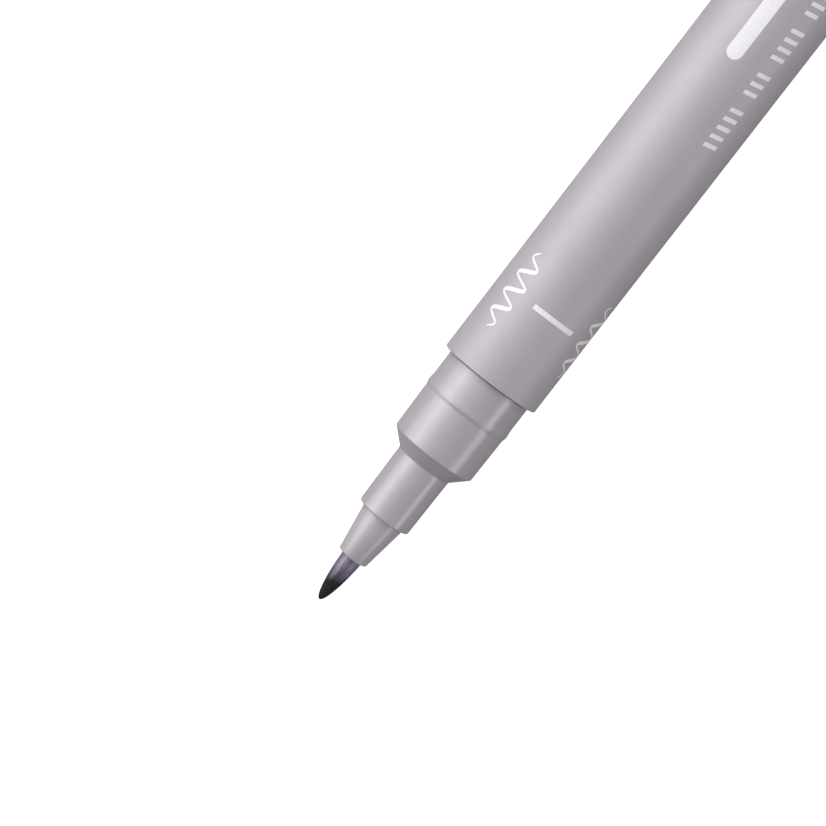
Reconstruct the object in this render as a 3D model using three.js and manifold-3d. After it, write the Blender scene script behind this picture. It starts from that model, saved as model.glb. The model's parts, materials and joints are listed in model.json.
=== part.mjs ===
// A disposable brush-tipped calligraphy marker with a bonded-fibre ink reservoir, ready to write:
// the brush is bare and the cap is posted on the tail. All sizes are in millimetres, +Z is up.
//
// The pen lies on its side, as it rests on a table: the brush points along -X and the cap along +X.
// It stands on the lowest flat of its barrel and cap, and on one edge of the pocket clip.
// Outlines are lists of [radius, station]. A station is a distance along the pen's axis from the
// barrel's mouth, positive towards the tail. On the cap, stations count from the cap's own mouth.
import * as THREE from "three";
import Module from "manifold-3d";
import { mergeVertices } from "three/addons/utils/BufferGeometryUtils.js";

const wasm = await Module();
wasm.setup();

// ---------------------------------------------------------------- driving dimensions
const ROUND_SIDES = 48; // flats round every large turned part, so that nested parts line up
const SMALL_SIDES = 24; // flats round the parts under 4 mm across
const SEAT_GAP = 0.1; // between two faces that meet
const EDGE = 0.2; // broken outer edges

const BARREL_RADIUS = 5.7;
const BARREL_LENGTH = 92;
const BORE_RADIUS = 4.78;
const RIB_COUNT = 4;
const RIB_WIDTH = 0.8;
const RIB_INNER_RADIUS = 4.02;

const SPIGOT_RADIUS = 4.7; // of the section and of the tail plug, pressed into the barrel's bore
const SPIGOT_DEPTH = 14;
const AIR_SLOT_WIDTH = 1.2;
const AIR_SLOT_DEPTH = 5;
const BAND_RADIUS = 4.95; // bare neck of the section, next to the barrel
const BEAD_RADIUS = 5.03; // ring that the cap clicks over
const BEAD_START = 3.0;
const BEAD_END = 4.3;
const GRIP_RADIUS = 4.91; // main part of the section, at the bead
const GRIP_FRONT_RADIUS = 4.84;
const GRIP_FRONT = 9.55;
const SLEEVE_REAR = 11.17; // the 45 degree shoulder ends here
const SLEEVE_REAR_RADIUS = 3.155;
const SLEEVE_FRONT = 18.08;
const SLEEVE_FRONT_RADIUS = 3.067;
const SECTION_CAVITY_RADIUS = 3.98;
const WEB_REAR = 5.0; // wall in the section that the ink feed passes through
const WEB_FRONT = 7.6;
const SOCKET_RADIUS = 2.27; // for the ferrule's spigot

const FERRULE_SPIGOT_RADIUS = 2.2;
const FERRULE_REAR_RADIUS = 2.48;
const FERRULE_FRONT_RADIUS = 1.71;
const FERRULE_FRONT = 23.47;
const FERRULE_BORE = 1.02;
const MOUTH_RADIUS = 1.34; // room for the brush to bend
const MOUTH_DEPTH = 2.1;
const MOUTH_FLARE = 0.09;

const TIP_RADIUS = 1.19;
const TIP_LENGTH = 5.7; // from the ferrule to the point
const TIP_SHOULDER = 1.5; // powers that shape the taper: full near the ferrule,
const TIP_POINT = 0.5; // and rounded at the point
const TIP_PIVOT = FERRULE_FRONT - 0.5; // the brush bends about this station
const FEED_RADIUS = 0.95;
const FEED_FRONT = 21.5;
const FEED_REAR = 1.6; // how far it reaches behind the barrel's mouth, into the reservoir

const CORE_RADIUS = 3.58;
const CORE_FRONT = -4.4;
const CORE_REAR = 84.9;
const WRAP_INNER_RADIUS = 3.66;
const WRAP_OUTER_RADIUS = 3.84;
const WRAP_INSET = 0.2;
const BREATHER_RADIUS = 0.5;
const BREATHER_BORE = 0.3;
const BREATHER_OFFSET = 3.05; // of its axis from the pen's
const BREATHER_PLAY = 0.1;
const TUBE_SIDES = 12;

const POST_RADIUS = 4.91; // the tail that the cap is pushed on to
const POST_BEAD_RADIUS = 5.0;
const POST_LENGTH = 7;
const PLUG_FRONT = 85.3;
const PLUG_WALL = 0.8;
const PLUG_FIN = 0.8;

const CAP_GAP = 0.15; // between the cap's mouth and the barrel's rear face
const CAP_BORE = 5.08;
const CAP_RIDGE_RADIUS = 5.05; // slides over the beads
const CAP_GROOVE_RADIUS = 5.14; // the bead sits in it
const CAP_SHELL_LENGTH = 37.4;
const CAP_LENGTH = 41;
const LINER_BORE = 3.25; // seals round the section's sleeve when the pen is capped
const LINER_RADIUS = 4.0;
const LINER_MOUTH = 12.2;
const LINER_FLOOR = 31;
const LINER_FLANGE = 31.8;
const LINER_END = 32.8;
const LINER_FIN = 0.7;
const LINER_FIN_START = 18;
const LINER_NOTCH_WIDTH = 1.6; // air paths past the flange
const CROWN_SPIGOT_RADIUS = 5.0;
const CROWN_START = 33;
const CROWN_HEAD = CAP_SHELL_LENGTH + SEAT_GAP;
const CROWN_CAVITY_RADIUS = 3.9;
const CROWN_CEILING = 39.7;
const CROWN_DOME = 0.8; // height and depth of the rounded rim
const VENT_COUNT = 3;
const VENT_RADIUS = 2.5;
const VENT_WIDTH = 0.9;
const VENT_LENGTH = 2.2;

const CLIP_THICKNESS = 0.6;
const CLIP_WIDTH = 3.4;
const CLIP_ROOT_RADIUS = 3.5; // inner end of the tab
const CLIP_STATION = CROWN_HEAD + 0.55; // of the tab's middle
const CLIP_BEND = 1.0;
const CLIP_ARM_RADIUS = 7.3; // of the arm's middle where it leaves the bend
const CLIP_ARM_END_RADIUS = 6.95;
const CLIP_KNEE = 14; // the arm turns in towards the cap here
const CLIP_TOUCH = 10; // and rests on it here
const CLIP_TIP = 7.4;
const CLIP_TIP_RADIUS = 6.95;
const CLIP_SLOT_PLAY = 0.25;
const CLIP_STEPS = 8; // along each bend
const CLIP_LIFT = 0.02; // clearance between the clip's edge and the table

// The clip points below the horizontal, so that its outer edge and the barrel stand on one plane.
// Turns round the pen count from +Z towards -Y.
const ARM_OUTER = CLIP_ARM_RADIUS + CLIP_THICKNESS / 2;
const CORNER_RADIUS = Math.hypot(ARM_OUTER, CLIP_WIDTH / 2);
const AXIS_HEIGHT = BARREL_RADIUS * Math.cos(Math.PI / ROUND_SIDES);
const CLIP_TURN =
  Math.PI / 2 +
  Math.asin((AXIS_HEIGHT - CLIP_LIFT) / CORNER_RADIUS) -
  Math.atan2(CLIP_WIDTH / 2, ARM_OUTER);

// ---------------------------------------------------------------- solids
const signedArea = (outline) =>
  outline.reduce((sum, [r, s], i) => {
    const [nextR, nextS] = outline[(i + 1) % outline.length];
    return sum + (r * nextS - nextR * s) / 2;
  }, 0);

// A solid of revolution about +X. A flat of the polygon faces straight down, so the pen lies on it.
function turned(outline, sides = ROUND_SIDES) {
  const ordered = signedArea(outline) > 0 ? [...outline] : [...outline].reverse();
  const onAxis = ordered.filter(([r]) => r === 0).length === 2;
  while (onAxis && !(ordered[0][0] === 0 && ordered.at(-1)[0] === 0)) ordered.push(ordered.shift());
  if (!onAxis) ordered.push(ordered[0]);
  const points = ordered.map(([r, s]) => new THREE.Vector2(r, s));
  return new THREE.LatheGeometry(points, sides, Math.PI / sides).rotateZ(-Math.PI / 2);
}

function toSolid(geometry) {
  const bare = geometry.index ? geometry.toNonIndexed() : geometry.clone();
  bare.deleteAttribute("normal");
  bare.deleteAttribute("uv");
  const merged = mergeVertices(bare, 1e-4);
  const triVerts = new Uint32Array(merged.index.array);
  return new wasm.Manifold(
    new wasm.Mesh({ numProp: 3, vertProperties: merged.attributes.position.array, triVerts }),
  );
}

function toGeometry(solid) {
  const { vertProperties, triVerts } = solid.getMesh();
  const geometry = new THREE.BufferGeometry();
  geometry.setAttribute("position", new THREE.BufferAttribute(vertProperties, 3));
  geometry.setIndex(new THREE.BufferAttribute(triVerts, 1));
  const flat = geometry.toNonIndexed();
  flat.computeVertexNormals();
  return flat;
}

const joined = (geometry, ...others) =>
  toGeometry(others.reduce((solid, other) => solid.add(toSolid(other)), toSolid(geometry)));
const cut = (geometry, ...others) =>
  toGeometry(others.reduce((solid, other) => solid.subtract(toSolid(other)), toSolid(geometry)));

// A block between two stations and two radii, at a turn round the pen.
function block(fromStation, toStation, fromRadius, toRadius, width, angle) {
  return new THREE.BoxGeometry(toStation - fromStation, width, toRadius - fromRadius)
    .translate((fromStation + toStation) / 2, 0, (fromRadius + toRadius) / 2)
    .rotateX(angle);
}

const around = (count, make, first = 0) =>
  Array.from({ length: count }, (_, i) => make(first + (i * 2 * Math.PI) / count));

// ---------------------------------------------------------------- materials
const plastic = (color, roughness) =>
  new THREE.MeshStandardMaterial({ color, roughness, metalness: 0 });
const MATTE_GREY = plastic(0xa9a3aa, 0.55);
const GLOSS_GREY = plastic(0xaaa4ab, 0.28);
const SOFT_WHITE = plastic(0xdedcd8, 0.5);
const FILM = plastic(0xd5dbe0, 0.15);
const RAW_FIBRE = plastic(0x4b4852, 0.95);
const BRUSH_BLACK = plastic(0x1d1a22, 0.6);
const STEEL = new THREE.MeshStandardMaterial({ color: 0xb9bbbe, roughness: 0.3, metalness: 1 });

const pen = new THREE.Group();
function add(name, geometry, material, station = 0) {
  const mesh = new THREE.Mesh(geometry, material);
  mesh.name = name;
  mesh.position.x = station;
  pen.add(mesh);
}

// ---------------------------------------------------------------- barrel and tail
// A moulded tube. Its inner ribs hold the reservoir and leave an air path round it.
function barrel() {
  const tube = turned([
    [BORE_RADIUS + EDGE, 0],
    [BARREL_RADIUS - EDGE, 0],
    [BARREL_RADIUS, EDGE],
    [BARREL_RADIUS, BARREL_LENGTH - EDGE],
    [BARREL_RADIUS - EDGE, BARREL_LENGTH],
    [BORE_RADIUS + EDGE, BARREL_LENGTH],
    [BORE_RADIUS, BARREL_LENGTH - EDGE],
    [BORE_RADIUS, EDGE],
  ]);
  const wallMiddle = (BORE_RADIUS + BARREL_RADIUS) / 2;
  const start = SPIGOT_DEPTH + 2;
  const end = PLUG_FRONT - 2;
  const rib = (angle) => block(start, end, RIB_INNER_RADIUS, wallMiddle, RIB_WIDTH, angle);
  return joined(tube, ...around(RIB_COUNT, rib, CLIP_TURN));
}

// Closes the barrel and carries the post that the cap is pushed on to. Its crossed fins stop the reservoir.
function tailPlug() {
  const shoulder = BARREL_LENGTH + SEAT_GAP;
  const end = BARREL_LENGTH + POST_LENGTH;
  const cavity = SPIGOT_RADIUS - PLUG_WALL;
  const ceiling = end - PLUG_WALL * 1.5;
  const shell = turned([
    [cavity, PLUG_FRONT],
    [SPIGOT_RADIUS - 2 * EDGE, PLUG_FRONT],
    [SPIGOT_RADIUS, PLUG_FRONT + 3 * EDGE],
    [SPIGOT_RADIUS, shoulder],
    [POST_RADIUS, shoulder],
    [POST_RADIUS, shoulder + BEAD_START],
    [POST_BEAD_RADIUS, shoulder + BEAD_START + EDGE],
    [POST_BEAD_RADIUS, shoulder + BEAD_END - 2 * EDGE],
    [POST_RADIUS, shoulder + BEAD_END],
    [POST_RADIUS - EDGE / 4, end - 4 * EDGE],
    [POST_RADIUS - EDGE, end - EDGE],
    [POST_RADIUS - 3 * EDGE, end],
    [0, end],
    [0, ceiling],
    [cavity, ceiling],
  ]);
  const reach = cavity + PLUG_WALL / 2;
  const fin = (angle) => block(PLUG_FRONT, ceiling + PLUG_WALL / 2, -reach, reach, PLUG_FIN, angle);
  return joined(shell, fin(CLIP_TURN), fin(CLIP_TURN + Math.PI / 2));
}

// ---------------------------------------------------------------- writing end
// The grip section: spigot, neck, snap bead, grip, shoulder and sleeve in one moulding.
function gripSection() {
  const body = turned([
    [SECTION_CAVITY_RADIUS, SPIGOT_DEPTH],
    [SPIGOT_RADIUS - 2 * EDGE, SPIGOT_DEPTH],
    [SPIGOT_RADIUS, SPIGOT_DEPTH - 3 * EDGE],
    [SPIGOT_RADIUS, -SEAT_GAP],
    [BAND_RADIUS, -SEAT_GAP],
    [BAND_RADIUS, -BEAD_START],
    [BEAD_RADIUS, -BEAD_END + 2 * EDGE],
    [BEAD_RADIUS, -BEAD_END + EDGE],
    [GRIP_RADIUS, -BEAD_END],
    [GRIP_FRONT_RADIUS, -GRIP_FRONT],
    [SLEEVE_REAR_RADIUS, -SLEEVE_REAR],
    [SLEEVE_FRONT_RADIUS, -SLEEVE_FRONT + EDGE / 2],
    [SLEEVE_FRONT_RADIUS - EDGE / 2, -SLEEVE_FRONT],
    [SOCKET_RADIUS, -SLEEVE_FRONT],
    [SOCKET_RADIUS, -WEB_FRONT],
    [FERRULE_BORE, -WEB_FRONT],
    [FERRULE_BORE, -WEB_REAR],
    [SECTION_CAVITY_RADIUS, -WEB_REAR],
  ]);
  // Two slots in the spigot's rim let air reach the space round the reservoir.
  const start = SPIGOT_DEPTH - AIR_SLOT_DEPTH;
  const inner = SECTION_CAVITY_RADIUS - 1;
  const slot = (angle) => block(start, SPIGOT_DEPTH + 1, inner, BARREL_RADIUS, AIR_SLOT_WIDTH, angle);
  return cut(body, ...around(2, slot, CLIP_TURN));
}

function nibFerrule() {
  const shoulder = -SLEEVE_FRONT - SEAT_GAP;
  return turned([
    [FERRULE_BORE, -WEB_FRONT - 2 * SEAT_GAP],
    [FERRULE_SPIGOT_RADIUS - EDGE, -WEB_FRONT - 2 * SEAT_GAP],
    [FERRULE_SPIGOT_RADIUS, -WEB_FRONT - 2 * SEAT_GAP - EDGE],
    [FERRULE_SPIGOT_RADIUS, shoulder],
    [FERRULE_REAR_RADIUS, shoulder],
    [FERRULE_FRONT_RADIUS, -FERRULE_FRONT + EDGE / 4],
    [FERRULE_FRONT_RADIUS - EDGE / 4, -FERRULE_FRONT],
    [MOUTH_RADIUS + MOUTH_FLARE, -FERRULE_FRONT],
    [MOUTH_RADIUS, -FERRULE_FRONT + 1.5 * EDGE],
    [MOUTH_RADIUS, -FERRULE_FRONT + MOUTH_DEPTH],
    [FERRULE_BORE, -FERRULE_FRONT + MOUTH_DEPTH],
  ]);
}

// The bare part of the brush: a slim point in front, and behind the ferrule's mouth a round heel
// about the place where the fibre bends.
function brushTip() {
  const steps = 9;
  const point = Array.from({ length: steps }, (_, i) => {
    const share = Math.sin((Math.PI / 2) * (i / steps));
    return [
      TIP_RADIUS * (1 - share ** TIP_SHOULDER) ** TIP_POINT,
      -FERRULE_FRONT - TIP_LENGTH * share,
    ];
  });
  const heelSteps = 4;
  const heel = Array.from({ length: heelSteps }, (_, i) => {
    const angle = (Math.PI / 2) * (i / heelSteps);
    return [TIP_RADIUS * Math.sin(angle), -TIP_PIVOT + TIP_RADIUS * Math.cos(angle)];
  });
  const outline = [...heel, [TIP_RADIUS, -TIP_PIVOT], ...point, [0, -FERRULE_FRONT - TIP_LENGTH]];
  return turned(outline, SMALL_SIDES);
}

// The rest of the same fibre rod: it feeds ink from the reservoir to the brush.
function inkFeed() {
  return turned(
    [
      [0, -FEED_FRONT],
      [FEED_RADIUS, -FEED_FRONT],
      [FEED_RADIUS, FEED_REAR - FEED_RADIUS],
      [FEED_RADIUS / 3, FEED_REAR],
      [0, FEED_REAR],
    ],
    SMALL_SIDES,
  );
}

// ---------------------------------------------------------------- ink reservoir
const BREATHER_TURN = CLIP_TURN + Math.PI;

function breatherTube() {
  const outline = [
    [BREATHER_BORE, CORE_FRONT],
    [BREATHER_RADIUS, CORE_FRONT],
    [BREATHER_RADIUS, CORE_REAR],
    [BREATHER_BORE, CORE_REAR],
  ];
  return turned(outline, TUBE_SIDES).translate(0, 0, BREATHER_OFFSET).rotateX(BREATHER_TURN);
}

function reservoirCore() {
  const rod = turned([
    [0, FEED_REAR + 4 * SEAT_GAP],
    [FERRULE_BORE, FEED_REAR + 4 * SEAT_GAP],
    [FERRULE_BORE, CORE_FRONT],
    [CORE_RADIUS, CORE_FRONT],
    [CORE_RADIUS, CORE_REAR],
    [0, CORE_REAR],
  ]);
  const groove = block(
    CORE_FRONT - 1,
    CORE_REAR + 1,
    BREATHER_OFFSET - BREATHER_RADIUS - BREATHER_PLAY,
    CORE_RADIUS + 1,
    2 * (BREATHER_RADIUS + BREATHER_PLAY),
    BREATHER_TURN,
  );
  return cut(rod, groove);
}

function reservoirWrap() {
  return turned([
    [WRAP_INNER_RADIUS, CORE_FRONT + WRAP_INSET],
    [WRAP_OUTER_RADIUS, CORE_FRONT + WRAP_INSET],
    [WRAP_OUTER_RADIUS, CORE_REAR - WRAP_INSET],
    [WRAP_INNER_RADIUS, CORE_REAR - WRAP_INSET],
  ]);
}

// ---------------------------------------------------------------- cap
function capShell() {
  return turned([
    [CAP_RIDGE_RADIUS + EDGE, 0],
    [BARREL_RADIUS - EDGE, 0],
    [BARREL_RADIUS, EDGE],
    [BARREL_RADIUS, CAP_SHELL_LENGTH - EDGE],
    [BARREL_RADIUS - EDGE, CAP_SHELL_LENGTH],
    [CAP_BORE, CAP_SHELL_LENGTH],
    [CAP_BORE, BEAD_END + EDGE],
    [CAP_GROOVE_RADIUS, BEAD_END],
    [CAP_GROOVE_RADIUS, BEAD_START],
    [CAP_RIDGE_RADIUS, BEAD_START - EDGE],
    [CAP_RIDGE_RADIUS, 2 * EDGE],
  ]);
}

// A soft cup that closes on the section's sleeve and keeps the brush wet. Air passes outside it.
function innerCap() {
  const cup = turned([
    [LINER_BORE + EDGE, LINER_MOUTH],
    [LINER_RADIUS - EDGE, LINER_MOUTH],
    [LINER_RADIUS, LINER_MOUTH + EDGE],
    [LINER_RADIUS, LINER_FLANGE],
    [CROWN_SPIGOT_RADIUS, LINER_FLANGE],
    [CROWN_SPIGOT_RADIUS, LINER_END],
    [0, LINER_END],
    [0, LINER_FLOOR],
    [LINER_BORE - 2 * EDGE, LINER_FLOOR],
    [LINER_BORE, LINER_FLOOR - 2 * EDGE],
    [LINER_BORE, LINER_MOUTH + 2 * EDGE],
  ]);
  const wallMiddle = (LINER_BORE + LINER_RADIUS) / 2;
  const reach = CROWN_SPIGOT_RADIUS - EDGE / 2;
  const inner = LINER_RADIUS + EDGE / 4;
  const fin = (angle) => block(LINER_FIN_START, LINER_FLANGE + EDGE, wallMiddle, reach, LINER_FIN, angle);
  const notch = (angle) =>
    block(LINER_FLANGE - EDGE / 4, LINER_END + 1, inner, BARREL_RADIUS, LINER_NOTCH_WIDTH, angle);
  const finned = joined(cup, ...around(4, fin, CLIP_TURN + Math.PI / 4));
  return cut(finned, ...around(4, notch, CLIP_TURN));
}

// Closes the cap, traps the clip's tab against the shell, and lets air through if the cap is swallowed.
function capCrown() {
  const rim = Array.from({ length: 5 }, (_, i) => {
    const angle = (Math.PI / 2) * (i / 4);
    return [
      BARREL_RADIUS - CROWN_DOME * (1 - Math.cos(angle)),
      CAP_LENGTH - CROWN_DOME * (1 - Math.sin(angle)),
    ];
  });
  const body = turned([
    [CROWN_CAVITY_RADIUS, CROWN_START],
    [CROWN_SPIGOT_RADIUS - EDGE, CROWN_START],
    [CROWN_SPIGOT_RADIUS, CROWN_START + EDGE],
    [CROWN_SPIGOT_RADIUS, CROWN_HEAD],
    [BARREL_RADIUS - EDGE, CROWN_HEAD],
    [BARREL_RADIUS, CROWN_HEAD + EDGE],
    ...rim,
    [0, CAP_LENGTH],
    [0, CROWN_CEILING],
    [CROWN_CAVITY_RADIUS, CROWN_CEILING],
  ]);
  const halfSlot = CLIP_THICKNESS / 2 + CLIP_SLOT_PLAY;
  const slot = block(
    CLIP_STATION - halfSlot,
    CLIP_STATION + halfSlot,
    CLIP_ROOT_RADIUS - CLIP_SLOT_PLAY,
    BARREL_RADIUS + 1,
    CLIP_WIDTH + 2 * CLIP_SLOT_PLAY,
    CLIP_TURN,
  );
  const vent = (angle) =>
    new THREE.BoxGeometry(CAP_LENGTH, VENT_LENGTH, VENT_WIDTH)
      .translate(CAP_LENGTH, 0, VENT_RADIUS)
      .rotateX(angle);
  return cut(body, slot, ...around(VENT_COUNT, vent, CLIP_TURN));
}

// The clip's middle line seen from the side: x is the station on the cap, y the radius.
function clipLine() {
  const touchRadius = BARREL_RADIUS + CLIP_THICKNESS / 2 + 0.05;
  const line = new THREE.Path();
  line.moveTo(CLIP_STATION, CLIP_ROOT_RADIUS);
  line.lineTo(CLIP_STATION, CLIP_ARM_RADIUS - CLIP_BEND);
  line.absarc(CLIP_STATION - CLIP_BEND, CLIP_ARM_RADIUS - CLIP_BEND, CLIP_BEND, 0, Math.PI / 2, false);
  line.lineTo(CLIP_KNEE, CLIP_ARM_END_RADIUS);
  const kneeEase = (CLIP_KNEE - CLIP_TOUCH) / 2;
  line.bezierCurveTo(
    CLIP_KNEE - kneeEase,
    CLIP_ARM_END_RADIUS,
    CLIP_TOUCH + kneeEase,
    touchRadius,
    CLIP_TOUCH,
    touchRadius,
  );
  line.quadraticCurveTo(CLIP_TOUCH - kneeEase / 2, touchRadius, CLIP_TIP, CLIP_TIP_RADIUS);
  return line.getPoints(CLIP_STEPS);
}

// A bent strip of spring steel. It stands up along +Z, and is turned round the pen with the cap.
function pocketClip() {
  const middle = clipLine().filter((p, i, all) => i === 0 || p.distanceTo(all[i - 1]) > 1e-3);
  const side = (sign) =>
    middle.map((p, i) => {
      const along = middle[Math.min(i + 1, middle.length - 1)].clone().sub(middle[Math.max(i - 1, 0)]);
      along.normalize().multiplyScalar((sign * CLIP_THICKNESS) / 2);
      return new THREE.Vector2(p.x - along.y, p.y + along.x);
    });
  const outline = new THREE.Shape([...side(1), ...side(-1).reverse()]);
  return new THREE.ExtrudeGeometry(outline, { depth: CLIP_WIDTH, bevelEnabled: false })
    .translate(0, 0, -CLIP_WIDTH / 2)
    .rotateX(Math.PI / 2)
    .rotateX(CLIP_TURN);
}

// ---------------------------------------------------------------- assembly
add("barrel", barrel(), MATTE_GREY);
add("tail_plug", tailPlug(), GLOSS_GREY);
add("grip_section", gripSection(), GLOSS_GREY);
add("nib_ferrule", nibFerrule(), GLOSS_GREY);
add("brush_tip", brushTip(), BRUSH_BLACK);
add("ink_feed", inkFeed(), BRUSH_BLACK);
add("reservoir_core", reservoirCore(), RAW_FIBRE);
add("reservoir_wrap", reservoirWrap(), FILM);
add("breather_tube", breatherTube(), SOFT_WHITE);

const CAP_STATION = BARREL_LENGTH + CAP_GAP;
add("cap_shell", capShell(), MATTE_GREY, CAP_STATION);
add("inner_cap", innerCap(), SOFT_WHITE, CAP_STATION);
add("cap_crown", capCrown(), GLOSS_GREY, CAP_STATION);
add("pocket_clip", pocketClip(), STEEL, CAP_STATION);

// The origin is the middle of the underside.
pen.updateMatrixWorld(true);
const box = new THREE.Box3().setFromObject(pen, true);
const middle = box.getCenter(new THREE.Vector3());
pen.position.set(-middle.x, -middle.y, -box.min.z);

export default pen;
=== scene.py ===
# The looks of a brush-tipped calligraphy marker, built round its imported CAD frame.
#
# Shapes are given in millimetres. An outline is a list of (radius, station, fillet) corners, and a
# station is a distance along the pen's axis: from the barrel's mouth for the pen's pieces, from the
# cap's own mouth for the cap's, positive towards the tail. A turn round the pen is an angle counted
# from +Z towards -Y. The places of both mouths, the axis and the clip's turn come from the frame.
import json
import math

import bmesh
import bpy
from mathutils import Matrix, Vector, noise


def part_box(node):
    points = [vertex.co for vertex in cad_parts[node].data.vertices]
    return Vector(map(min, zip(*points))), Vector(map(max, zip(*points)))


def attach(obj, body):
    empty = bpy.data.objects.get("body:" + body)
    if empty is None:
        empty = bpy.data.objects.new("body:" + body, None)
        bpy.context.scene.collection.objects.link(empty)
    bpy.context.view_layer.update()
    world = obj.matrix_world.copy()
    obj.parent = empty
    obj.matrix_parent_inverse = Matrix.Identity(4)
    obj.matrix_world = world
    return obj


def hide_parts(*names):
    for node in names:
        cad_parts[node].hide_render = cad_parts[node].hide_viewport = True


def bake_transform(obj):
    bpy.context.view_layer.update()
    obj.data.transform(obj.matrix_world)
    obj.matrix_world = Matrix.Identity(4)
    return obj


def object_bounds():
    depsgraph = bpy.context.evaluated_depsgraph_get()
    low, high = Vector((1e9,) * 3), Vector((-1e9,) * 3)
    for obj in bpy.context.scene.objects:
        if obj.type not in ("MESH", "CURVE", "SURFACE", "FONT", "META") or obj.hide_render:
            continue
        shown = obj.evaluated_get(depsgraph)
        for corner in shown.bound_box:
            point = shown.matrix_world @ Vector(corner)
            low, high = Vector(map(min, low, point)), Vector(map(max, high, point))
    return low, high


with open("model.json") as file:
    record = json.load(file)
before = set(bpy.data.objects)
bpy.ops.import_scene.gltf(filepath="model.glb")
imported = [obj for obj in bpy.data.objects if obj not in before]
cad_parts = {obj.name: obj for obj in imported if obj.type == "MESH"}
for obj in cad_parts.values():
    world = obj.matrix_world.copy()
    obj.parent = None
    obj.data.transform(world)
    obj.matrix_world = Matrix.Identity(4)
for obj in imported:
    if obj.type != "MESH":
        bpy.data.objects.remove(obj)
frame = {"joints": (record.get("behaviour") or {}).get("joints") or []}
CAD_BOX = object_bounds()

MM = 0.001
joint = {j["name"]: j for j in frame["joints"]}
barrel_low, barrel_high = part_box("barrel")
AXIS = (barrel_low + barrel_high) / 2
PEN = Vector((barrel_low.x, AXIS.y, AXIS.z))
CAP = Vector((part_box("cap_shell")[0].x, AXIS.y, AXIS.z))
CLIP_TURN = math.atan2(joint["clip_flex"]["axis"][2], joint["clip_flex"]["axis"][1])
STUDIO_MIDDLE = Vector((-0.02, AXIS.y, AXIS.z))

# ---------------------------------------------------------------- sizes, in millimetres
SIDES = 160
SEAT_GAP = 0.1
SEAM_GAP = 0.02
CUT_PAST = 1  # how far a cutter reaches beyond what it cuts

# barrel
BARREL_RADIUS = 5.7
BARREL_LENGTH = (barrel_high.x - barrel_low.x) / MM
BORE_RADIUS = 4.78
RIB_INNER_RADIUS = 4.02
RIB_WIDTH = 0.8
RIB_BITE = 0.1
RIB_END_GAP = 2

# grip section, nib ferrule and brush
SPIGOT_RADIUS = 4.7
SPIGOT_DEPTH = 14
SPIGOT_SLOT_DEPTH = 5
SPIGOT_SLOT_WIDTH = 1.2
BAND_RADIUS = 4.95
BEAD_RADIUS = 5.03
BEAD_START = 3.0
BEAD_END = 4.3
BEAD_SLOPE = 0.38
BEAD_CREST = 0.24
GRIP_RADIUS = 4.91
GRIP_FRONT_RADIUS = 4.84
GRIP_FRONT = 9.55
SLEEVE_REAR = 11.17
SLEEVE_REAR_RADIUS = 3.155
SLEEVE_FRONT = 18.08
SLEEVE_FRONT_RADIUS = 3.067
CAVITY_RADIUS = 3.98
WEB_REAR = 5.0
WEB_FRONT = 7.6
SOCKET_RADIUS = 2.27
FERRULE_SPIGOT_RADIUS = 2.2
FERRULE_REAR_RADIUS = 2.48
FERRULE_FRONT_RADIUS = 1.71
FERRULE_FRONT = 23.47
FERRULE_BORE = 1.02
FERRULE_MOUTH_RADIUS = 1.34
FERRULE_MOUTH_DEPTH = 2.1
TIP_RADIUS = 1.19
TIP_LENGTH = 5.7
TIP_WEAR = 0.075
FLUTE_DEPTH = 0.022
HEEL_GAP = 0.25
HEEL_SLOPE = 0.3
FEED_RADIUS = 0.95
FEED_REAR = 1.6
FEED_END_GAP = 0.4

# reservoir
CORE_RADIUS = 3.58
CORE_FRONT = -4.4
CORE_REAR = 84.9
WRAP_INNER_RADIUS = 3.66
WRAP_OUTER_RADIUS = 3.84
BREATHER_RADIUS = 0.5
BREATHER_BORE = 0.3
BREATHER_OFFSET = 3.05
BREATHER_GROOVE = 1.2

# tail plug, with the post for the cap
POST_RADIUS = 4.91
POST_BEAD_RADIUS = 5.0
POST_BEAD_CREST = (BEAD_START + 0.2, BEAD_END - 0.4)
POST_LENGTH = 7
PLUG_FRONT = 85.3
PLUG_WALL = 0.8
PLUG_END_WALL = 1.2
PLUG_FIN_WIDTH = 0.8

# cap, inner cap (the liner) and crown
CAP_BORE = 5.08
CAP_RIDGE_RADIUS = 5.05
CAP_GROOVE_RADIUS = 5.14
CAP_GROOVE_SLOPE = 0.2
CAP_SHELL_LENGTH = 37.4
CAP_LENGTH = 41
LINER_BORE = 3.25
LINER_RADIUS = 4.0
LINER_MOUTH = 12.2
LINER_FLOOR = 31
LINER_FLANGE = 31.8
LINER_END = 32.8
LINER_FIN_START = 18
LINER_FIN_WIDTH = 0.7
LINER_FIN_BITE = 0.3
LINER_NOTCH_WIDTH = 1.6
LINER_NOTCH_GAP = 0.05
CROWN_SPIGOT_RADIUS = 5.0
CROWN_START = 33
CROWN_CAVITY_RADIUS = 3.9
CROWN_CEILING = 39.7
VENT_RADIUS = 2.5
VENT_LENGTH = 2.2
VENT_WIDTH = 0.9

# clip
CLIP_THICKNESS = 0.6
CLIP_WIDTH = 3.4
CLIP_EDGE = 0.16
CLIP_SLOT_GAP = 0.25
CLIP_ROOT_RADIUS = 3.5
CLIP_ROOT_TOP = 4.8
CLIP_STATION = 38.05
CLIP_BEND = 1.0
CLIP_ARM_RADIUS = 7.3
CLIP_ARM_END_RADIUS = 6.95
CLIP_KNEE = 14
CLIP_TOUCH = 10
CLIP_TIP = 7.4

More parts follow.
